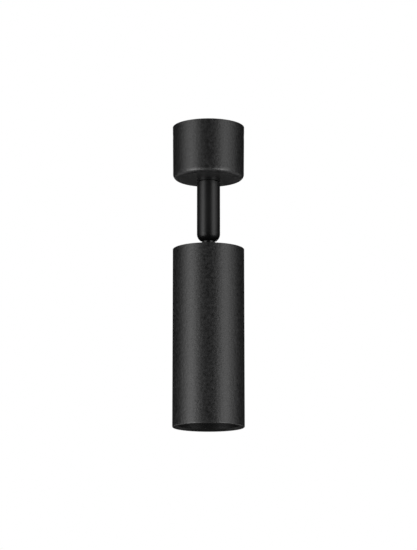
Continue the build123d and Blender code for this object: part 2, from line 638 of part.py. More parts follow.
def pan_stop_washer():
    """Washer keyed to the spindle's flats, with a tab that meets the stop pin at each pan limit."""
    low, high = FRICTION_WASHER_TOP, STOP_WASHER_TOP
    hole_radius = SPINDLE_THREAD_RADIUS + FIT
    tab_end = -STOP_PIN_ORBIT - STOP_PIN_RADIUS
    washer = drum(SPINDLE_RADIUS + STOP_WASHER_WIDTH, low, high)
    washer += block((-STOP_TAB_HALF_WIDTH, tab_end, low), (STOP_TAB_HALF_WIDTH, 0, high))
    return washer - flatted_thread(hole_radius, SPINDLE_HALF_FLATS + FIT, low - CUT, high + CUT)


def spindle_nut():
    return hex_nut(SPINDLE_NUT_FLATS, SPINDLE_THREAD_RADIUS + FIT, STOP_WASHER_TOP, SPINDLE_NUT_TOP)


def lead_sleeve():
    """Flanged plastic liner in the top of the spindle, which keeps its edge off the leads."""
    low = SPINDLE_TOP - SLEEVE_LENGTH
    bundle_radius = LEAD_ORBIT + LEAD_RADIUS + 4 * FIT
    sleeve = drum(SPINDLE_BORE_RADIUS - FIT, low, SPINDLE_TOP)
    sleeve += drum(SPINDLE_BORE_RADIUS + SLEEVE_FLANGE_WIDTH, SPINDLE_TOP, PAN_BREAK_Z)
    return sleeve - drum(bundle_radius, low - CUT, PAN_BREAK_Z + CUT)


# ------------------------------------------------------------------ stem and ball
def ball_sphere(radius):
    """Sphere about the tilt centre."""
    return Pos(0, 0, BALL_Z) * Sphere(radius)


def stem_tube():
    """Tube with a rounded lower end, a ball socket in it, and the neck's slot up its back."""
    tube = drum(STEM_RADIUS, STEM_BOTTOM, STEM_TOP)
    tube = fillet(lowest_edges(tube), STEM_END_FILLET)
    tube -= drum(STEM_BORE_RADIUS, BALL_Z, STEM_TOP + CUT)
    tube -= ball_sphere(SOCKET_RADIUS)
    tube -= drum(NECK_WAY, STEM_BOTTOM - CUT, BALL_Z)
    tube -= block((-NECK_WAY, 0, STEM_BOTTOM - CUT), (NECK_WAY, STEM_RADIUS + CUT, BALL_Z))
    tube -= along_y(NECK_WAY, 0, BALL_Z, 0, STEM_RADIUS + CUT)
    return tube - grub_screw_form(FIT)


def ball_seat():
    """Plastic ring that the spring presses on the ball."""
    seat = ring(STEM_BORE_RADIUS - FIT, SEAT_BORE_RADIUS, SEAT_BOTTOM, SEAT_TOP)
    return seat - ball_sphere(SOCKET_RADIUS)


def joint_spring():
    """Coil spring between the ball's seat and the spindle's plug."""
    end = SPRING_WIRE_RADIUS + FIT
    height = SPRING_LENGTH - 2 * end
    orbit = STEM_BORE_RADIUS - SPRING_WIRE_RADIUS - RUN_GAP
    coil = Helix(height / SPRING_TURNS, height, orbit)
    section = Plane(coil @ 0, z_dir=coil % 0) * Circle(SPRING_WIRE_RADIUS)
    return Pos(0, 0, SEAT_TOP + end) * sweep(section, path=coil, is_frenet=True)


def swivel_ball():
    """Ball and neck in one piece, with a threaded stud through the head's cap and a lead bore."""
    ball = ball_sphere(BALL_RADIUS)
    ball += drum(NECK_RADIUS, HEAD_TOP, BALL_Z)
    ball += drum(STUD_RADIUS, STUD_BOTTOM, HEAD_TOP)
    return ball - drum(NECK_BORE_RADIUS, STUD_BOTTOM - CUT, TILT_BREAK_Z + CUT)


# ------------------------------------------------------------------ head
def head_tube():
    """Tube of the head, with a pocket for the front ring and a slightly rounded mouth."""
    tube = drum(HEAD_RADIUS, MOUTH_Z, HEAD_TOP)
    tube = fillet(lowest_edges(tube), HEAD_EDGE_FILLET)
    tube -= drum(HEAD_BORE_RADIUS, MOUTH_Z - CUT, HEAD_TOP + CUT)
    return tube - drum(POCKET_RADIUS, MOUTH_Z - CUT, RING_TOP + FIT)


def head_earth_hole():
    """Hole for the earth screw, through the bracket and part of the way into the cap."""
    tip = STRIP_BOTTOM - TAG_THICKNESS + HEAD_EARTH_SCREW_LENGTH
    return drum(EARTH_SCREW_RADIUS + FIT, STRIP_BOTTOM - CUT, tip + FIT, HEAD_EARTH_X, HEAD_EARTH_Y)


def head_cap():
    """Disc that closes the head's top."""
    return ring(HEAD_BORE_RADIUS - FIT, STUD_RADIUS + FIT, CAP_BOTTOM, HEAD_TOP) - head_earth_hole()


def neck_lock_washer():
    return ring(NECK_NUT_FLATS / 2 + WASHER_LAND, STUD_RADIUS + FIT, NECK_NUT_TOP, STRIP_BOTTOM)


def neck_nut():
    return hex_nut(NECK_NUT_FLATS, STUD_RADIUS + FIT, NECK_NUT_BOTTOM, NECK_NUT_TOP)


def holder_bracket():
    """Bent strip clamped under the cap, whose two feet carry the lamp holder."""
    strip = slab(LEG_X, STRIP_HALF_WIDTH, STRIP_BOTTOM, CAP_BOTTOM)
    for side in SIDES:
        inner, outer = sorted((side * LEG_X, side * (LEG_X - STRIP_THICKNESS)))
        strip += block((inner, -STRIP_HALF_WIDTH, COVER_TOP), (outer, STRIP_HALF_WIDTH, CAP_BOTTOM))
        inner, outer = sorted((side * LEG_X, side * FOOT_INNER_X))
        strip += block((inner, -STRIP_HALF_WIDTH, COVER_TOP), (outer, STRIP_HALF_WIDTH, FOOT_TOP))
        strip -= drum(HOLDER_SCREW_RADIUS + FIT, COVER_TOP - CUT, FOOT_TOP + CUT, side * HOLDER_SCREW_X)
    strip -= drum(STUD_RADIUS + FIT, STRIP_BOTTOM - CUT, CAP_BOTTOM + CUT)
    return strip - head_earth_hole()


# ------------------------------------------------------------------ lamp holder
def arc_slot(start, width, low, high):
    """Upright slot along the arc that a lamp pin follows, from a start angle in degrees."""
    line = CenterArc((0, 0), PIN_SPACING / 2, start, LAMP_TWIST)
    return Pos(0, 0, low) * extrude(SlotArc(line, width), high - low)


def lamp_holder():
    """Ceramic body with two keyhole slots for the lamp's pins and a cavity above each."""
    body = drum(HOLDER_RADIUS, HOLDER_BOTTOM, HOLDER_TOP)
    body = fillet(lowest_edges(body), HOLDER_FILLET)
    head_way = PIN_HEAD_RADIUS + RUN_GAP
    stem_way = PIN_STEM_RADIUS + RUN_GAP
    entry_angle = radians(LAMP_TWIST)
    screw_tip = HOLDER_BOTTOM + HOLDER_SCREW_FLOOR - FIT
    for side in SIDES:
        start = 0 if side > 0 else 180
        contact_x = side * CONTACT_X
        entry = (contact_x * cos(entry_angle), contact_x * sin(entry_angle))
        body -= arc_slot(start, 2 * stem_way, HOLDER_BOTTOM - CUT, CAVITY_FLOOR)
        body -= arc_slot(start, 2 * head_way, CAVITY_FLOOR, CAVITY_TOP)
        body -= drum(head_way, HOLDER_BOTTOM - CUT, CAVITY_FLOOR + CUT, *entry)
        body -= drum(LEAD_HOLE_RADIUS, CAVITY_TOP - CUT, HOLDER_TOP + CUT, contact_x)
        body -= drum(HOLDER_SCREW_RADIUS + FIT, screw_tip, HOLDER_TOP + CUT, side * HOLDER_SCREW_X)
    return body


def holder_cover():
    """Ceramic cover with a lead hole over each contact."""
    cover = drum(HOLDER_RADIUS, HOLDER_TOP, COVER_TOP)
    cover = fillet(highest_edges(cover), HOLDER_FILLET)
    for side in SIDES:
        low, high = HOLDER_TOP - CUT, COVER_TOP + CUT
        cover -= drum(LEAD_HOLE_RADIUS, low, high, side * CONTACT_X)
        cover -= drum(HOLDER_SCREW_RADIUS + FIT, low, high, side * HOLDER_SCREW_X)
    return cover


def holder_contacts():
    """Bent spring strip over each pin, fixed to the cavity's roof, with its nose over the pin."""
    nose_z = PIN_TOP + RUN_GAP
    bend_x = CONTACT_HALF_LENGTH * 0.4
    nose_x = CONTACT_HALF_LENGTH * 0.8
    profile = Polyline(
        (-CONTACT_HALF_LENGTH, 0, CAVITY_TOP),
        (CONTACT_HALF_LENGTH, 0, CAVITY_TOP),
        (CONTACT_HALF_LENGTH, 0, CAVITY_TOP - CONTACT_THICKNESS),
        (-bend_x, 0, CAVITY_TOP - CONTACT_THICKNESS),
        (nose_x, 0, nose_z + CONTACT_THICKNESS / 2),
        (nose_x, 0, nose_z),
        (-CONTACT_HALF_LENGTH, 0, CAVITY_TOP - CONTACT_THICKNESS),
        close=True,
    )
    strip = extrude(make_face(profile), CONTACT_HALF_WIDTH, both=True)
    return [Pos(side * CONTACT_X, 0, 0) * strip for side in SIDES]


def holder_screws():
    """Two screws from the bracket's feet through the cover into the holder."""
    length = FOOT_TOP - HOLDER_BOTTOM - HOLDER_SCREW_FLOOR
    screw = pan_screw(
        HOLDER_SCREW_RADIUS, length, HOLDER_SCREW_HEAD_RADIUS, HOLDER_SCREW_HEAD_HEIGHT
    )
    return [Pos(side * HOLDER_SCREW_X, 0, FOOT_TOP) * screw for side in SIDES]


# ------------------------------------------------------------------ lamp
def lamp_outline(inset):
    """Section corners of the reflector lamp's shell, drawn in by an inset."""
    return [
        (LAMP_BASE_RADIUS + RUN_GAP - inset, LAMP_BASE_BOTTOM),
        (LAMP_WAIST_RADIUS - inset, LAMP_WAIST_Z),
        (LAMP_RADIUS - LAMP_SHOULDER_WIDTH - inset, LAMP_SHOULDER_TOP),
        (LAMP_RADIUS - inset, LAMP_RIM_TOP),
        (LAMP_RADIUS - inset, LAMP_FACE),
    ]


def lamp_shell():
    """Shell of the lamp: a waisted cone with a straight rim, open at both ends."""
    return turned(*lamp_outline(0), *reversed(lamp_outline(LAMP_WALL)))


def lamp_base():
    """Insulating base that carries the two pins."""
    base = drum(LAMP_BASE_RADIUS, LAMP_BASE_BOTTOM, LAMP_TOP)
    base = fillet(highest_edges(base), LAMP_BASE_FILLET)
    for side in SIDES:
        base -= drum(PIN_STEM_RADIUS + FIT, LAMP_TOP - PIN_ROOT, LAMP_TOP + CUT, side * CONTACT_X)
    return base


def lamp_pins():
    """Two headed pins, the standard bayonet of this lamp."""
    pins = []
    for side in SIDES:
        pin = drum(PIN_STEM_RADIUS, LAMP_TOP - PIN_ROOT, PIN_TOP, side * CONTACT_X)
        pins.append(pin + drum(PIN_HEAD_RADIUS, PIN_HEAD_BOTTOM, PIN_TOP, side * CONTACT_X))
    return pins


def board_bottom():
    """Underside of the lamp's board, whose upper edge meets the shell's cone."""
    waist_inner = LAMP_WAIST_RADIUS - LAMP_WALL
    shoulder_inner = LAMP_RADIUS - LAMP_SHOULDER_WIDTH - LAMP_WALL
    share = (BOARD_RADIUS + 2 * FIT - waist_inner) / (shoulder_inner - waist_inner)
    return LAMP_WAIST_Z + share * (LAMP_SHOULDER_TOP - LAMP_WAIST_Z) - BOARD_THICKNESS


def lamp_board():
    return drum(BOARD_RADIUS, board_bottom(), board_bottom() + BOARD_THICKNESS)


def lamp_leds():
    """Ring of light emitting chips under the board, with one in the middle."""
    chip = slab(LED_HALF_SIDE, LED_HALF_SIDE, board_bottom() - LED_HEIGHT, board_bottom())
    chips = [chip]
    for index in range(LED_COUNT):
        chips.append(Rot(0, 0, 360 * index / LED_COUNT) * Pos(LED_ORBIT, 0, 0) * chip)
    return chips


def lamp_lens():
    """Front lens that sits inside the lamp's rim."""
    low = LAMP_FACE + LENS_LIP
    return drum(LAMP_RADIUS - LAMP_WALL - FIT, low, low + LENS_THICKNESS)


# ------------------------------------------------------------------ front ring
def glare_groove(z):
    """V groove round the ring's bore, which breaks up stray light."""
    return turned(
        (RING_BORE_RADIUS - CUT, z - GLARE_GROOVE_HALF_WIDTH),
        (RING_BORE_RADIUS, z - GLARE_GROOVE_HALF_WIDTH),
        (RING_BORE_RADIUS + GLARE_GROOVE_DEPTH, z),
        (RING_BORE_RADIUS, z + GLARE_GROOVE_HALF_WIDTH),
        (RING_BORE_RADIUS - CUT, z + GLARE_GROOVE_HALF_WIDTH),
    )


def front_ring():
    """Trim ring pushed into the mouth: bevelled face, seal groove and glare grooves."""
    body = turned(
        (RING_RADIUS, RING_BOTTOM),
        (RING_RADIUS, RING_TOP),
        (RING_BORE_RADIUS, RING_TOP),
        (RING_BORE_RADIUS, RING_BOTTOM + RING_BEVEL_HEIGHT),
    )
    groove_half = SEAL_WIRE_RADIUS + 2 * FIT
    groove_floor = SEAL_ORBIT - SEAL_WIRE_RADIUS - FIT
    body -= ring(RING_RADIUS + CUT, groove_floor, SEAL_Z - groove_half, SEAL_Z + groove_half)
    for index in range(GLARE_GROOVES):
        body -= glare_groove(RING_TOP - GLARE_GROOVE_DROP - index * GLARE_GROOVE_PITCH)
    return body


def ring_seal():
    """Rubber ring that grips the pocket's wall."""
    return Pos(0, 0, SEAL_Z) * Torus(SEAL_ORBIT, SEAL_WIRE_RADIUS)


# ------------------------------------------------------------------ leads
def port_lead(start, below, port_x):
    """Lead from below the strap into the front of a terminal port."""
    turn_y = BLOCK_FRONT - CANOPY_LEAD_RUN
    end_y = BLOCK_FRONT + BLOCK_DEPTH * 0.45
    points = [start, below, (port_x, turn_y, PORT_Z), (port_x, end_y, PORT_Z)]
    return lead(points, CANOPY_LEAD_BEND)


def canopy_lead(core):
    """Lead from the spindle's top to its port in the terminal block."""
    x, y = core_place(core)
    port_x = PORTS[core] - (EARTH_PAIR_OFFSET if core == "earth" else 0)
    start_z = PAN_BREAK_Z + BREAK_GAP
    return port_lead((x, y, start_z), (x, y, (start_z + PORT_Z) / 2), port_x)


def bracket_earth_lead():
    """Short earth lead from the strap's ring tag to the middle port."""
    x, y = EARTH_X + TAG_REACH, EARTH_Y
    barrel_bottom = tag_barrel_bottom(-STRAP_THICKNESS)
    below_z = barrel_bottom - 1.8 * EARTH_LEAD_BEND
    return port_lead((x, y, barrel_bottom + TAG_GRIP), (x, y, below_z), EARTH_PAIR_OFFSET)


def stem_lead(core):
    """Straight run of a core through the stem, from the pan joint to the ball."""
    x, y = core_place(core)
    return drum(LEAD_RADIUS, TILT_BREAK_Z + BREAK_GAP / 2, PAN_BREAK_Z, x, y)


def head_lead(core):
    """Lead from inside the ball to its contact in the lamp holder."""
    x, y = core_place(core)
    end_x = -CONTACT_X if core == "live" else CONTACT_X
    fall = STUD_BOTTOM - COVER_TOP
    points = [
        (x, y, TILT_BREAK_Z - BREAK_GAP),
        (x, y, STUD_BOTTOM - fall * 0.35),
        (end_x, 0, STUD_BOTTOM - fall * 0.75),
        (end_x, 0, CAVITY_TOP + FIT),
    ]
    return lead(points, HEAD_LEAD_BEND)


def head_earth_lead():
    """Lead from inside the ball, under the neck nut and up to the head's ring tag."""
    x, y = core_place("earth")
    barrel_bottom = tag_barrel_bottom(STRIP_BOTTOM)
    turn_z = min(STUD_BOTTOM, barrel_bottom) - 1.8 * EARTH_LEAD_BEND
    points = [
        (x, y, TILT_BREAK_Z - BREAK_GAP),
        (x, y, turn_z),
        (HEAD_TAG_X, HEAD_EARTH_Y, turn_z),
        (HEAD_TAG_X, HEAD_EARTH_Y, barrel_bottom + TAG_GRIP),
    ]
    return lead(points, EARTH_LEAD_BEND)


# ------------------------------------------------------------------ every node
def all_nodes():
    """Each node's name and its solid or list of solids."""
    strap_face = -STRAP_THICKNESS
    nodes = {
        "mounting_bracket": mounting_bracket(),
        "cable_grommet": cable_grommet(),
        "canopy": canopy(),
        "canopy_side_screws": canopy_side_screws(),
        "terminal_block": terminal_block(),
        "terminal_tubes": terminal_tubes(),
        "terminal_screws": terminal_screws(),
        "terminal_fixing_screws": terminal_fixing_screws(),
        "bracket_earth_tag": earth_tag(EARTH_X, EARTH_Y, strap_face, 1),
        "bracket_earth_screw": earth_screw(EARTH_X, EARTH_Y, strap_face, STRAP_THICKNESS + TAG_THICKNESS),
        "bracket_earth_lead": bracket_earth_lead(),
        "pan_bush": pan_bush(),
        "pan_lock_washer": pan_lock_washer(),
        "pan_bush_nut": pan_bush_nut(),
        "pan_stop_pin": pan_stop_pin(),
        "stem_tube": stem_tube(),
        "stem_spindle": stem_spindle(),
        "stem_grub_screw": stem_grub_screw(),
        "pan_thrust_washer": pan_thrust_washer(),
        "pan_friction_washer": pan_friction_washer(),
        "pan_stop_washer": pan_stop_washer(),
        "spindle_nut": spindle_nut(),
        "lead_sleeve": lead_sleeve(),
        "ball_seat": ball_seat(),
        "joint_spring": joint_spring(),
        "swivel_ball": swivel_ball(),
        "head_tube": head_tube(),
        "head_cap": head_cap(),
        "neck_lock_washer": neck_lock_washer(),
        "neck_nut": neck_nut(),
        "holder_bracket": holder_bracket(),
        "head_earth_tag": earth_tag(HEAD_EARTH_X, HEAD_EARTH_Y, STRIP_BOTTOM, -1),
        "head_earth_screw": earth_screw(
            HEAD_EARTH_X, HEAD_EARTH_Y, STRIP_BOTTOM, HEAD_EARTH_SCREW_LENGTH
        ),
        "head_earth_lead": head_earth_lead(),
        "lamp_holder": lamp_holder(),
        "holder_cover": holder_cover(),
        "holder_contacts": holder_contacts(),
        "holder_screws": holder_screws(),
        "lamp_shell": lamp_shell(),
        "lamp_base": lamp_base(),
        "lamp_pins": lamp_pins(),
        "lamp_board": lamp_board(),
        "lamp_leds": lamp_leds(),
        "lamp_lens": lamp_lens(),
        "front_ring": front_ring(),
        "ring_seal": ring_seal(),
    }
    for core in CORE_ANGLES:
        nodes[f"canopy_{core}_lead"] = canopy_lead(core)
        nodes[f"stem_{core}_lead"] = stem_lead(core)
    for core in ("live", "neutral"):
        nodes[f"head_{core}_lead"] = head_lead(core)
    return nodes


def main():
    os.makedirs("parts", exist_ok=True)
    for name, made in all_nodes().items():
        solids = made if isinstance(made, list) else [made]
        export_step(Compound(children=solids), f"parts/{name}.step")


main()
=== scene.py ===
import json
from collections import namedtuple
from math import cos, hypot, pi, radians, sin, sqrt

import bmesh
import bpy
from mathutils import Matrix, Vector


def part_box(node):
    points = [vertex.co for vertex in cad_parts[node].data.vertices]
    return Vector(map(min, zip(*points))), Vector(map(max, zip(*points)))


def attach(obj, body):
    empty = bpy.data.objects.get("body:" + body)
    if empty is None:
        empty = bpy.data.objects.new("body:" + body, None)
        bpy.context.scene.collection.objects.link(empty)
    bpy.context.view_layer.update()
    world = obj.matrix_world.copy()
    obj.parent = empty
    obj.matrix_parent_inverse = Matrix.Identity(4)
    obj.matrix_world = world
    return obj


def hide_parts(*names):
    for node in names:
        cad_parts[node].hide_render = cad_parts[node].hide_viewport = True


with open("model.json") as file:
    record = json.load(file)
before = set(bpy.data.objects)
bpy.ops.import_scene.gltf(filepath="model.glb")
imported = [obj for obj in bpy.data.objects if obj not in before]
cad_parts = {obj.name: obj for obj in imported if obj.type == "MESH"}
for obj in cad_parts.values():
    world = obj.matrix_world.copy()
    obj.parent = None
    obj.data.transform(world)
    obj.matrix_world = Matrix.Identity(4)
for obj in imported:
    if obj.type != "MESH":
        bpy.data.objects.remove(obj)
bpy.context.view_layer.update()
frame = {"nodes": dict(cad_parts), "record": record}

# A surface mounted ceiling spotlight, dressed over its CAD frame. Everything is in metres. The
# ceiling plane is z = 0, the light hangs towards -Z, and the camera stands on the -Y side.
MM = 0.001

# ------------------------------------------------------------------ materials
# Grain is noise in object space: its size in mm, how many times finer it is along each axis, how
# much it changes the colour and the roughness, and how far it raises the surface, in mm.
Grain = namedtuple("Grain", "size stretch colour roughness height")
Finish = namedtuple("Finish", "colour roughness metallic specular grain")

EVEN = (1, 1, 1)
TURNED = (0.15, 0.15, 1.0)      # rings round the Z axis, as on parts turned in a lathe

FINISHES = {
    "black_powder_coat": Finish(
        (0.005, 0.005, 0.0051), 0.42, 0, 0.45, Grain(2.1, EVEN, 0.8, 0.045, 0.23)
    ),
    "black_joint": Finish((0.004, 0.004, 0.0041), 0.36, 0, 0.28, Grain(0.5, EVEN, 0.3, 0.06, 0.012)),
    # black_interior is the same satin black as the powder coat, made darker and less reflective:
    # painted shade inside the head
    "black_interior": Finish((0.003, 0.003, 0.0031), 0.38, 0, 0.32, Grain(0.6, EVEN, 0.3, 0.08, 0.02)),
    "zinc_steel": Finish((0.34, 0.35, 0.37), 0.45, 1, 0.5, Grain(2.4, EVEN, 0.3, 0.10, 0.01)),
    "spring_steel": Finish((0.45, 0.45, 0.46), 0.26, 1, 0.5, Grain(1.0, EVEN, 0.12, 0.10, 0.01)),
    "brass": Finish((0.78, 0.61, 0.30), 0.24, 1, 0.5, Grain(0.8, TURNED, 0.12, 0.10, 0.01)),
    "white_ceramic": Finish((0.80, 0.78, 0.73), 0.62, 0, 0.4, Grain(0.7, EVEN, 0.07, 0.10, 0.03)),
    "white_plastic": Finish((0.80, 0.80, 0.79), 0.38, 0, 0.5, Grain(1.2, EVEN, 0.02, 0.06, 0.01)),
    "grey_plastic": Finish((0.62, 0.62, 0.60), 0.42, 0, 0.5, Grain(1.0, EVEN, 0.03, 0.08, 0.015)),
    "nylon": Finish((0.80, 0.79, 0.74), 0.40, 0, 0.5, Grain(1.2, EVEN, 0.03, 0.06, 0.01)),
    "black_rubber": Finish((0.022, 0.022, 0.022), 0.68, 0, 0.35, Grain(0.5, EVEN, 0.25, 0.10, 0.02)),
    "live_insulation": Finish((0.25, 0.11, 0.05), 0.42, 0, 0.45, Grain(1.5, EVEN, 0.08, 0.06, 0.01)),
    "neutral_insulation": Finish((0.05, 0.16, 0.50), 0.42, 0, 0.45, Grain(1.5, EVEN, 0.08, 0.06, 0.01)),
    "board_white": Finish((0.78, 0.79, 0.78), 0.35, 0, 0.5, Grain(1.0, EVEN, 0.03, 0.05, 0.005)),
    "phosphor": Finish((0.85, 0.66, 0.16), 0.55, 0, 0.4, Grain(0.3, EVEN, 0.08, 0.08, 0.01)),
}
LENS_GLASS = Finish((0.93, 0.95, 0.95), 0.12, 0, 0.5, Grain(2, EVEN, 0, 0.04, 0.01))
LENS_IOR = 1.49
LENS_TRANSMISSION = 0.9         # the rest is cloudy

EARTH_GREEN = (0.06, 0.28, 0.07)
EARTH_YELLOW = (0.80, 0.62, 0.05)
EARTH_ROUGHNESS = 0.42
STRIPE_SCALE = 275              # a green and a yellow stripe every 1.1 mm
STRIPE_DISTORTION = 0.4
STRIPE_EDGE = (0.45, 0.55)      # where the colours meet, as shares of the wave's height

NOISE_DETAIL = 3
NOISE_ROUGHNESS = 0.6
NOISE_RANGE = (0.3, 0.7)        # where nearly all of the noise lies


def new_material(name):
    """A material with nodes, its tree and its Principled node."""
    material = bpy.data.materials.new(name)
    material.use_nodes = True
    tree = material.node_tree
    return material, tree, tree.nodes["Principled BSDF"]


def noise_node(tree, grain):
    """Noise in object space at a grain's size and stretch, as a node's output."""
    place = tree.nodes.new("ShaderNodeTexCoord")
    mapping = tree.nodes.new("ShaderNodeMapping")
    mapping.inputs["Scale"].default_value = [part / (grain.size * MM) for part in grain.stretch]
    noise = tree.nodes.new("ShaderNodeTexNoise")
    noise.inputs["Scale"].default_value = 1
    noise.inputs["Detail"].default_value = NOISE_DETAIL
    noise.inputs["Roughness"].default_value = NOISE_ROUGHNESS
    tree.links.new(place.outputs["Object"], mapping.inputs["Vector"])
    tree.links.new(mapping.outputs["Vector"], noise.inputs["Vector"])
    return noise.outputs["Fac"]


def two_colours(tree, source, places, colours):
    """A ramp between two colours, driven by a node's output."""
    ramp = tree.nodes.new("ShaderNodeValToRGB")
    for element, place, colour in zip(ramp.color_ramp.elements, places, colours):
        element.position = place
        element.color = (*colour, 1)
    tree.links.new(source, ramp.inputs["Fac"])
    return ramp.outputs["Color"]


def add_colour(tree, shader, source, finish):
    """The finish's colour, made darker and lighter by a noise output."""
    amount = finish.grain.colour
    dark = [part * (1 - amount) for part in finish.colour]
    light = [min(1, part * (1 + amount)) for part in finish.colour]
    colour = two_colours(tree, source, NOISE_RANGE, (dark, light))
    tree.links.new(colour, shader.inputs["Base Color"])


def add_roughness(tree, shader, source, finish):
    """The finish's roughness, lowered and raised by a noise output."""
    node = tree.nodes.new("ShaderNodeMapRange")
    node.inputs["From Min"].default_value = NOISE_RANGE[0]
    node.inputs["From Max"].default_value = NOISE_RANGE[1]
    node.inputs["To Min"].default_value = finish.roughness - finish.grain.roughness
    node.inputs["To Max"].default_value = finish.roughness + finish.grain.roughness
    tree.links.new(source, node.inputs["Value"])
    tree.links.new(node.outputs["Result"], shader.inputs["Roughness"])


def add_bump(tree, shader, source, finish):
    """Raise and lower the surface by a noise output."""
    bump = tree.nodes.new("ShaderNodeBump")
    bump.inputs["Strength"].default_value = 1
    bump.inputs["Distance"].default_value = finish.grain.height * MM
    tree.links.new(source, bump.inputs["Height"])
    tree.links.new(bump.outputs["Normal"], shader.inputs["Normal"])


def grained(slot, finish):
    """Material for a slot from its finish."""
    material, tree, shader = new_material(slot)
    source = noise_node(tree, finish.grain)
    add_colour(tree, shader, source, finish)
    add_roughness(tree, shader, source, finish)
    add_bump(tree, shader, source, finish)
    shader.inputs["Metallic"].default_value = finish.metallic
    shader.inputs["Specular IOR Level"].default_value = finish.specular
    return material


def earth_insulation():
    """Green and yellow insulation in stripes along the lead."""
    material, tree, shader = new_material("earth_insulation")
    place = tree.nodes.new("ShaderNodeTexCoord")
    wave = tree.nodes.new("ShaderNodeTexWave")
    wave.bands_direction = "X"
    wave.inputs["Scale"].default_value = STRIPE_SCALE
    wave.inputs["Distortion"].default_value = STRIPE_DISTORTION
    tree.links.new(place.outputs["Object"], wave.inputs["Vector"])
    colour = two_colours(tree, wave.outputs["Fac"], STRIPE_EDGE, (EARTH_GREEN, EARTH_YELLOW))
    tree.links.new(colour, shader.inputs["Base Color"])
    shader.inputs["Roughness"].default_value = EARTH_ROUGHNESS
    return material


def lamp_glass():
    """Clear moulded lens, a little cloudy."""
    material, tree, shader = new_material("lamp_glass")
    source = noise_node(tree, LENS_GLASS.grain)
    add_roughness(tree, shader, source, LENS_GLASS)
    add_bump(tree, shader, source, LENS_GLASS)
    shader.inputs["Base Color"].default_value = (*LENS_GLASS.colour, 1)
    shader.inputs["IOR"].default_value = LENS_IOR
    shader.inputs["Transmission Weight"].default_value = LENS_TRANSMISSION
    return material


materials = {slot: grained(slot, finish) for slot, finish in FINISHES.items()}
materials["earth_insulation"] = earth_insulation()
materials["lamp_glass"] = lamp_glass()
for part in frame["record"]["subparts"]:
    mesh = frame["nodes"][part["node"]].data
    mesh.materials.clear()
    mesh.materials.append(materials[part["material_slot"]])


# ------------------------------------------------------------------ lamp lens
LENSLET_PITCH = 2.6 * MM
LENSLET_DEPTH = 0.45 * MM
LENS_RIM = 1.4 * MM             # plain border outside the lenslets
LENS_RINGS = 72
LENS_SECTORS = 216


def lenslet_height(x, y):
    """How far the lens's face is drawn in at a place, over a honeycomb of small domes."""
    row_step = LENSLET_PITCH * sqrt(3) / 2
    nearest = LENSLET_PITCH
    for row in (int(y // row_step), int(y // row_step) + 1):
        shift = LENSLET_PITCH / 2 if row % 2 else 0
        column = round((x - shift) / LENSLET_PITCH)
        centre_x = column * LENSLET_PITCH + shift
        nearest = min(nearest, hypot(x - centre_x, y - row * row_step))
    edge = LENSLET_PITCH / sqrt(3)
    return LENSLET_DEPTH * min(1, nearest / edge) ** 2


def make_lens():
    """The lamp's front lens: a disc whose face is moulded into small domes, with a plain rim."""
    low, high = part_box("lamp_lens")
    radius = high.x
    mesh = bmesh.new()
    rings = []
    for ring in range(1, LENS_RINGS + 1):
        r = radius * ring / LENS_RINGS
        corners = []
        for sector in range(LENS_SECTORS):
            x = r * cos(2 * pi * sector / LENS_SECTORS)
            y = r * sin(2 * pi * sector / LENS_SECTORS)
            depth = lenslet_height(x, y) if r < radius - LENS_RIM else 0
            corners.append(mesh.verts.new((x, y, low.z + depth)))
        rings.append(corners)
    back = [mesh.verts.new((corner.co.x, corner.co.y, high.z)) for corner in rings[-1]]
    rings.append(back)
    for inner, outer in zip(rings, rings[1:]):
        for index in range(LENS_SECTORS):
            after = (index + 1) % LENS_SECTORS
            mesh.faces.new((inner[index], inner[after], outer[after], outer[index]))
    centre = mesh.verts.new((0, 0, low.z))
    for index in range(LENS_SECTORS):
        mesh.faces.new((rings[0][(index + 1) % LENS_SECTORS], rings[0][index], centre))
    mesh.faces.new(back)
    bmesh.ops.recalc_face_normals(mesh, faces=mesh.faces)
    data = bpy.data.meshes.new("lamp_front_lens")
    mesh.to_mesh(data)
    mesh.free()
    for face in data.polygons:
        face.use_smooth = len(face.vertices) < LENS_SECTORS
    data.materials.append(materials["lamp_glass"])
    lens = bpy.data.objects.new("lamp_front_lens", data)
    bpy.context.scene.collection.objects.link(lens)
    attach(lens, "lamp")
    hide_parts("lamp_lens")


make_lens()

# ------------------------------------------------------------------ floor, light and camera
FLOOR_Z = -1.5
FLOOR_SIDE = 24.0
FLOOR_FINISH = Finish((0.86, 0.86, 0.86), 0.8, 0, 0.5, Grain(50, EVEN, 0.01, 0, 0))
FLOOR_WHITE = 0.75              # share of white in the floor where it is seen
SCREEN_FINISH = Finish((0.01, 0.01, 0.01), 0.9, 0, 0.1, Grain(50, EVEN, 0.1, 0, 0))
AMBIENT = 0.35
AIM = Vector((0, 0, -0.1275))
CAMERA_DISTANCE = 1.7255
CAMERA_PITCH = radians(11.34)
CAMERA_LENS = 134.8             # in mm, as Blender wants it

# Each dark screen's first corner and its two edges
SHADES = {
    "shade_left": ((-0.9, 0.05, -1.49), (0, 3.95, 0), (0, 0, 3.49)),
    "shade_right": ((0.9, 0.05, -1.49), (0, 3.95, 0), (0, 0, 3.49)),
    "shade_back": ((-0.9, 0.9, -1.49), (1.8, 0, 0), (0, 0, 1.39)),
    "shade_front": ((-0.55, -1.0, -1.49), (1.1, 0, 0), (0, 0, 3.49)),
    "shade_low": ((-0.9, -1.0, -1.49), (1.8, 0, 0), (0, 1.9, 0)),
}

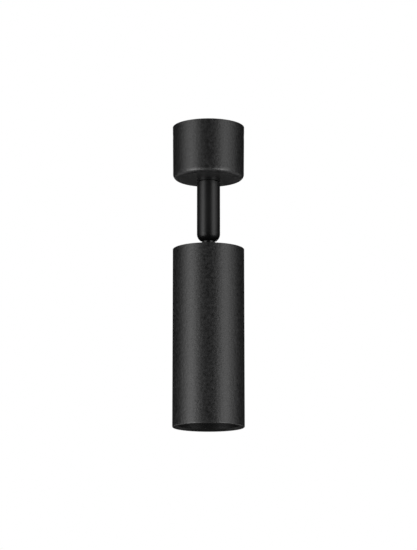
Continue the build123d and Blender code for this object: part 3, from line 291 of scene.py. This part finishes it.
# Each soft light's azimuth from the camera (left is negative) and elevation in degrees, its
# distance, width and height, and its power in watts
LIGHTS = {
    "soft_left": (-56, -9, 1.6, 0.85, 1.7, 14.6),
    "soft_right": (53, -7, 1.6, 0.85, 1.7, 11.0),
    "low_left": (-56, -40, 1.6, 0.7, 0.5, 15),
    "low_right": (53, -40, 1.6, 0.7, 0.5, 13),
    "rear_low": (180, -35, 0.85, 1.2, 0.35, 0.08),
    "rear_left": (-128, -36, 1.0, 0.5, 0.6, 0.9),
    "rear_right": (128, -36, 1.0, 0.5, 0.6, 0.9),
}


def toward(azimuth, elevation):
    """Unit vector from the object out to a place, by angles in degrees."""
    a, e = radians(azimuth), radians(elevation)
    return Vector((sin(a) * cos(e), -cos(a) * cos(e), sin(e)))


def make_lights():
    """Soft lights that face the object."""
    for name, (azimuth, elevation, distance, width, height, watts) in LIGHTS.items():
        data = bpy.data.lights.new(name, "AREA")
        data.shape = "RECTANGLE"
        data.size = width
        data.size_y = height
        data.energy = watts
        light = bpy.data.objects.new(name, data)
        out = toward(azimuth, elevation)
        light.location = AIM + out * distance
        light.rotation_euler = out.to_track_quat("Z", "Y").to_euler()
        bpy.context.scene.collection.objects.link(light)


def stage_material(name, finish):
    """A plain material for the stage, its tree and its Principled node."""
    material, tree, shader = new_material(name)
    add_colour(tree, shader, noise_node(tree, finish.grain), finish)
    shader.inputs["Roughness"].default_value = finish.roughness
    shader.inputs["Specular IOR Level"].default_value = finish.specular
    return material, tree, shader


def stage_sheet(name, corner, along, up, material):
    """A flat four-sided sheet that belongs to the stage."""
    data = bpy.data.meshes.new(name)
    data.from_pydata([corner, corner + along, corner + along + up, corner + up], [], [(0, 1, 2, 3)])
    data.materials.append(material)
    sheet = bpy.data.objects.new(name, data)
    bpy.context.scene.collection.objects.link(sheet)
    return sheet


def make_shades():
    """Dark screens round and below the object, unseen by the camera, that keep its edges dark."""
    material, _, _ = stage_material("dark_screen", SCREEN_FINISH)
    for name, edges in SHADES.items():
        corner, along, up = (Vector(edge) for edge in edges)
        shade = stage_sheet(name, corner, along, up, material)
        shade.visible_camera = False
        shade.visible_diffuse = False
        shade.visible_shadow = False


def seen_rays(tree):
    """One for rays that see the background: straight, in gloss or through glass. Otherwise zero."""
    rays = tree.nodes.new("ShaderNodeLightPath")
    seen = rays.outputs["Is Camera Ray"]
    for kind in ("Is Glossy Ray", "Is Transmission Ray"):
        either = tree.nodes.new("ShaderNodeMath")
        either.operation = "MAXIMUM"
        tree.links.new(seen, either.inputs[0])
        tree.links.new(rays.outputs[kind], either.inputs[1])
        seen = either.outputs["Value"]
    return seen


def mixed(tree, first, second):
    """A mix of two shaders' outputs, as a node."""
    mix = tree.nodes.new("ShaderNodeMixShader")
    tree.links.new(first, mix.inputs[1])
    tree.links.new(second, mix.inputs[2])
    return mix


def make_world():
    """White to the camera and in reflections, and a plain grey light on the object."""
    world = bpy.data.worlds.new("studio")
    world.use_nodes = True
    tree = world.node_tree
    tree.nodes.clear()
    ambient = tree.nodes.new("ShaderNodeBackground")
    ambient.inputs["Strength"].default_value = AMBIENT
    white = tree.nodes.new("ShaderNodeBackground")
    for background in (ambient, white):
        background.inputs["Color"].default_value = (1, 1, 1, 1)
    mix = mixed(tree, ambient.outputs["Background"], white.outputs["Background"])
    tree.links.new(seen_rays(tree), mix.inputs["Fac"])
    output = tree.nodes.new("ShaderNodeOutputWorld")
    tree.links.new(mix.outputs["Shader"], output.inputs["Surface"])
    bpy.context.scene.world = world


def make_floor():
    """Plain pale floor, well below the light. It is paler where it is seen, and keeps its shadows."""
    material, tree, shader = stage_material("pale_floor", FLOOR_FINISH)
    white = tree.nodes.new("ShaderNodeEmission")
    paler = mixed(tree, shader.outputs["BSDF"], white.outputs["Emission"])
    paler.inputs["Fac"].default_value = FLOOR_WHITE
    mix = mixed(tree, shader.outputs["BSDF"], paler.outputs["Shader"])
    tree.links.new(seen_rays(tree), mix.inputs["Fac"])
    tree.links.new(mix.outputs["Shader"], tree.nodes["Material Output"].inputs["Surface"])
    corner = Vector((-FLOOR_SIDE / 2, -FLOOR_SIDE / 2, FLOOR_Z))
    stage_sheet("floor", corner, Vector((FLOOR_SIDE, 0, 0)), Vector((0, FLOOR_SIDE, 0)), material)


def make_camera():
    """Camera at the photograph's angle, which looks a little up at the light."""
    data = bpy.data.cameras.new("camera")
    data.lens = CAMERA_LENS
    camera = bpy.data.objects.new("camera", data)
    forward = Vector((0, cos(CAMERA_PITCH), sin(CAMERA_PITCH)))
    camera.location = AIM - forward * CAMERA_DISTANCE
    camera.rotation_euler = forward.to_track_quat("-Z", "Y").to_euler()
    bpy.context.scene.collection.objects.link(camera)
    bpy.context.scene.camera = camera


make_lights()
make_shades()
make_world()
make_floor()
make_camera()
bpy.context.scene.view_settings.view_transform = "Standard"
